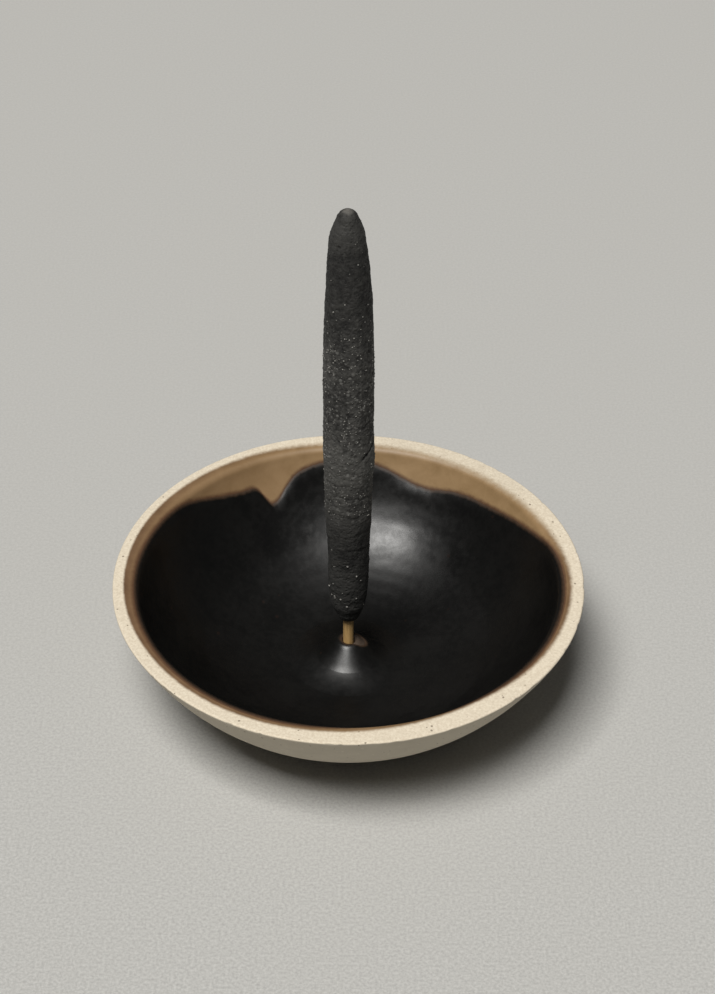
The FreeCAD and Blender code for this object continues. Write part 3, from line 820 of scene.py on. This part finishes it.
# The very tip turns a lighter grey.
lighter_tip = board.use(
    border,
    {"Vector": place, "Distance": up, "Start": paste_high.z - 0.9, "Width": 0.7, "Waver": 0.5, "Size": 0.9},
).outputs["Mask"]
coal = board.mix(board.sum("MULTIPLY", lighter_tip, 0.6), coal, (0.17, 0.16, 0.145))
board.tree.links.new(coal, shader.inputs["Base Color"])
board.tree.links.new(board.span(grit["Tone"], 0.0, 1.0, 0.95, 0.72), shader.inputs["Roughness"])
bump = board.put("Bump", {"Height": grit["Height"], "Strength": 1.0, "Distance": 0.00028})
board.tree.links.new(bump.outputs["Normal"], shader.inputs["Normal"])
shader.inputs["Specular IOR Level"].default_value = 0.35

# %% [markdown]
# ## The rolled paste
#
# Rolling by hand leaves a spindle: pinched at the foot, fullest past the middle, closed to a thumb-rounded
# point. The section includes the bore, so the bamboo really goes in. Lumps, roll wrinkles, the torn crack on
# the right and the sandy grain are then worked in, coarse to fine.

# %% Roll the paste
mesh = bmesh.new()
pen = Pen(mesh, 0, core_high.z)
pen.line(CORE_R, core_high.z).line(CORE_R, paste_low.z, 3).line(1.5, paste_low.z, 1)
pen.arc((1.5, paste_low.z + 2.4), 90, 12)
low_side = pen.tip.co.copy()
WIDEST_Z = paste_low.z + 68.0
SHOULDER_R, SHOULDER_Z = 4.5, paste_high.z - 13.5
TIP_Z = paste_high.z - 0.3


def long_arc(pen, end, steps):
    """An arc to end that is upright where the paste is widest."""
    taper = PASTE_R - min(end[0], pen.tip.co.x)
    rise = max(abs(WIDEST_Z - end[1]), abs(WIDEST_Z - pen.tip.co.z))
    reach = (taper**2 + rise**2) / (2 * taper)
    pen.arc((PASTE_R - reach, WIDEST_Z), math.degrees(math.asin(rise / reach)), steps)
    return PASTE_R - reach


long_arc(pen, (PASTE_R, WIDEST_Z), 290)
hub = long_arc(pen, (SHOULDER_R, SHOULDER_Z), 135)
outward = Vector((pen.tip.co.x - hub, pen.tip.co.z - WIDEST_Z)).normalized()
TIP_ROUND = 2.3
tip_hub = Vector((0.0, TIP_Z - TIP_ROUND))
reach = Vector((pen.tip.co.x, pen.tip.co.z)) - tip_hub
point_r = (reach.length_squared - TIP_ROUND**2) / (2 * (outward.dot(reach) - TIP_ROUND))
point_hub = Vector((pen.tip.co.x, pen.tip.co.z)) - outward * point_r
away = (tip_hub - point_hub).normalized()
pen.arc(point_hub, math.degrees(outward.angle(away)), 58)
pen.arc(tip_hub, 90 - math.degrees(math.atan2(away.y, away.x)), 12)
throw(mesh, 168)
print(f"paste: {len(mesh.verts)} points, {len(mesh.faces)} faces")

# %% Work the paste
WRINKLES = [
    (60.4, 0.08, 240), (56.6, 0.10, 300), (51.5, 0.10, 262), (46.5, 0.07, 320), (41.7, 0.07, 280),
    (33.0, 0.05, 250), (64.0, 0.10, -20), (62.0, 0.10, 120), (44.0, 0.08, 90), (36.0, 0.09, 140),
]
CRACK_Z, CRACK_TURN = 69.2, 325
GIRTH = [(124.5, 0.34, 3.2), (66.0, 0.28, 6.0), (49.0, 0.20, 6.0), (30.0, 0.36, 5.5)]


def turn_between(a, b):
    """The smaller angle between two directions in degrees."""
    return abs((a - b + 180) % 360 - 180)


proud = []
for vertex in mesh.verts:
    place = vertex.co.copy()
    radius = math.hypot(place.x, place.y)
    if radius < CORE_R + 0.05 and place.z < core_high.z + 0.1:
        proud.append(0.0)
        continue
    angle = math.degrees(math.atan2(place.y, place.x))
    lump = 0.16 * ripple((place.x * 1.2, place.y * 1.2, place.z * 0.55), 5.0, 1.0)
    lump += 0.10 * ripple(place, 2.2, 4.0)
    lump += sum(more * math.exp(-(((place.z - level) / reach) ** 2)) for level, more, reach in GIRTH)
    for level, depth, facing in WRINKLES:
        slant = level + 1.6 * ripple((place.x, place.y, level), 3.0, 7.0)
        ridge = 0.55 * math.exp(-(((place.z - slant - 0.9) / 0.7) ** 2))
        near = math.exp(-(((place.z - slant) / 0.38) ** 2)) - ridge
        lump -= depth * near * ease(95, 20, turn_between(angle, facing))
    torn = CRACK_Z + 0.055 * (angle % 360 - CRACK_TURN) + 0.3 * ripple(place, 1.5, 6.0)
    gash = math.exp(-(((place.z - torn) / 0.34) ** 2)) * ease(34, 16, turn_between(angle, CRACK_TURN + 6))
    lump -= 0.8 * gash
    tooth = 0.08 * ripple(place, 0.8, 8.0) + 0.05 * ripple(place, 0.42, 12.0)
    pit = -0.16 * ease(0.42, 0.75, ripple(place, 1.1, 15.0))
    taper = ease(paste_high.z + 0.3, paste_high.z - 5.0, place.z)
    out = Vector((place.x, place.y, 0)).normalized() if radius > 0.01 else Vector()
    shift = (lump - 0.06) * (0.15 + 0.85 * taper) + (tooth + pit)
    vertex.co = place + out * shift * min(1.0, radius / 1.5)
    if place.z > paste_high.z - 3:
        vertex.co.z -= 0.05 + 0.05 * ripple(place, 0.8, 3.0)
    pinch = 1 - ease(paste_low.z + 0.8, paste_low.z + 6.0, place.z)
    girth = math.hypot(vertex.co.x, vertex.co.y)
    if pinch > 0 and girth > CORE_R + 0.1:
        pressed = 1 - 0.4 * pinch * (girth - CORE_R - 0.1) / girth
        vertex.co.x *= pressed
        vertex.co.y *= pressed
    vertex.co.x -= 0.2 * ease(112.0, 124.0, place.z)
    proud.append(min(1.0, max(0.0, 0.5 + 5.0 * (tooth + 0.5 * lump))) * (1 - gash))
paste = finish_piece(
    mesh, "incense_roll", paste_finish, "stick", ["incense_paste"], {"proud": proud}
)

# %% [markdown]
# ## Resin crumbs
#
# Crushed resin shows as pale grains half sunk in the paste, crowded in the lower half and few near the tip.
# Each is a ball of twenty faces, stretched and turned at random, so hundreds of them stay light.

# %% Resin finish
resin_finish, board, shader = new_finish("resin_crumb")
place = board.millimetres()
cloud = board.use(blotches, {"Vector": place, "Size": 0.9, "Contrast": 2.0}).outputs["Fac"]
board.tree.links.new(board.mix(cloud, (0.07, 0.068, 0.062), (0.24, 0.23, 0.21)), shader.inputs["Base Color"])
board.tree.links.new(board.span(cloud, 0.0, 1.0, 0.55, 0.3), shader.inputs["Roughness"])

# %% Scatter the crumbs
chance = random.Random(41)
skin_points = [v.co / METRES for v in paste.data.vertices]
skin_points = [p for p in skin_points if math.hypot(p.x, p.y) > 2.5]
mesh = bmesh.new()
wanted = 900
while wanted:
    spot = chance.choice(skin_points)
    crowd = (0.05 + 0.95 * ease(112, 92, spot.z) * ease(46, 58, spot.z)) * ease(23, 25, spot.z)
    crowd *= 0.35 + 0.65 * ease(-0.15, 0.35, ripple(spot, 7.0, 21.0))
    if chance.random() > crowd:
        continue
    wanted -= 1
    size = chance.choice((0.10, 0.12, 0.14, 0.17, 0.22)) if spot.z > 46 else chance.choice((0.14, 0.26, 0.34))
    ball = bmesh.ops.create_icosphere(mesh, subdivisions=1, radius=size)["verts"]
    squash = Matrix.Diagonal((1.0, 0.75 + 0.5 * chance.random(), 0.6 + 0.5 * chance.random(), 1.0))
    roll = Matrix.Rotation(chance.random() * math.tau, 4, Vector((chance.random(), chance.random(), 0.3)))
    sunk = Vector((spot.x, spot.y, 0)).normalized() * size * -0.15
    bmesh.ops.transform(mesh, matrix=Matrix.Translation(spot + sunk) @ roll @ squash, verts=ball)
crumbs = finish_piece(mesh, "resin_crumbs", resin_finish, "stick")

# %% [markdown]
# ## Table, light and camera
#
# The burner stands on a matt pale-grey surface with a fine speckle. One large soft light hangs in front, to
# the left and high, as a window would, and the room gives back very little, so the glaze stays black. The
# camera looks down at the bowl with a long lens.

# %% Table
table_finish, board, shader = new_finish("matt_table")
place = board.millimetres()
speckle = board.noise(place, 1.5, 4.0, 0.75)
cloud = board.use(blotches, {"Vector": place, "Size": 90.0, "Contrast": 1.2}).outputs["Fac"]
nearer = board.put("SeparateXYZ", {"Vector": place}).outputs["Y"]
speckle = board.span(speckle, 0.28, 0.72)
speckle = board.mix(board.span(nearer, -150.0, 150.0, 0.0, 0.75), speckle, (0.5, 0.5, 0.5))
grey = board.mix(speckle, (0.290, 0.288, 0.278), (0.460, 0.456, 0.440))
grey = board.mix(board.sum("MULTIPLY", cloud, 0.35), grey, (0.372, 0.363, 0.342))
board.tree.links.new(grey, shader.inputs["Base Color"])
shader.inputs["Roughness"].default_value = 0.75
shader.inputs["Specular IOR Level"].default_value = 0.2
mesh = bmesh.new()
bmesh.ops.create_grid(mesh, x_segments=8, y_segments=8, size=2.5)
data = bpy.data.meshes.new("table")
mesh.to_mesh(data)
mesh.free()
data.materials.append(table_finish)
table = bpy.data.objects.new("table", data)
bpy.context.scene.collection.objects.link(table)

# %% Light
key = bpy.data.lights.new("softbox", "AREA")
key.shape = "RECTANGLE"
key.size, key.size_y = 5.6, 4.4
key.energy = 2130.0
key.color = (1.0, 0.985, 0.955)
softbox = bpy.data.objects.new("softbox", key)
KEY_FROM = Vector((-0.20, -0.34, 0.92)).normalized()
softbox.location = KEY_FROM * 12.0
softbox.rotation_euler = KEY_FROM.to_track_quat("Z", "Y").to_euler()
bpy.context.scene.collection.objects.link(softbox)

world = bpy.data.worlds.new("dim_room")
world.use_nodes = True
world.node_tree.nodes["Background"].inputs["Color"].default_value = (0.95, 0.98, 1.0, 1.0)
world.node_tree.nodes["Background"].inputs["Strength"].default_value = 0.07
bpy.context.scene.world = world
bpy.context.scene.view_settings.view_transform = "Standard"

# %% Camera
TILT = math.radians(38.98)
ROLL = math.radians(0.19)
lens = bpy.data.cameras.new("long_lens")
lens.sensor_fit = "VERTICAL"
lens.sensor_height = 36.0
lens.lens = 94.81
lens.clip_start, lens.clip_end = 0.05, 20.0
camera = bpy.data.objects.new("camera", lens)
facing = Matrix.Rotation(math.pi / 2 - TILT, 4, "X") @ Matrix.Rotation(ROLL, 4, "Z")
camera.matrix_world = Matrix.Translation(Vector((2.01, -454.52, 421.68)) * METRES) @ facing
bpy.context.scene.collection.objects.link(camera)
bpy.context.scene.camera = camera
print("camera at", [round(v, 3) for v in camera.matrix_world.translation])
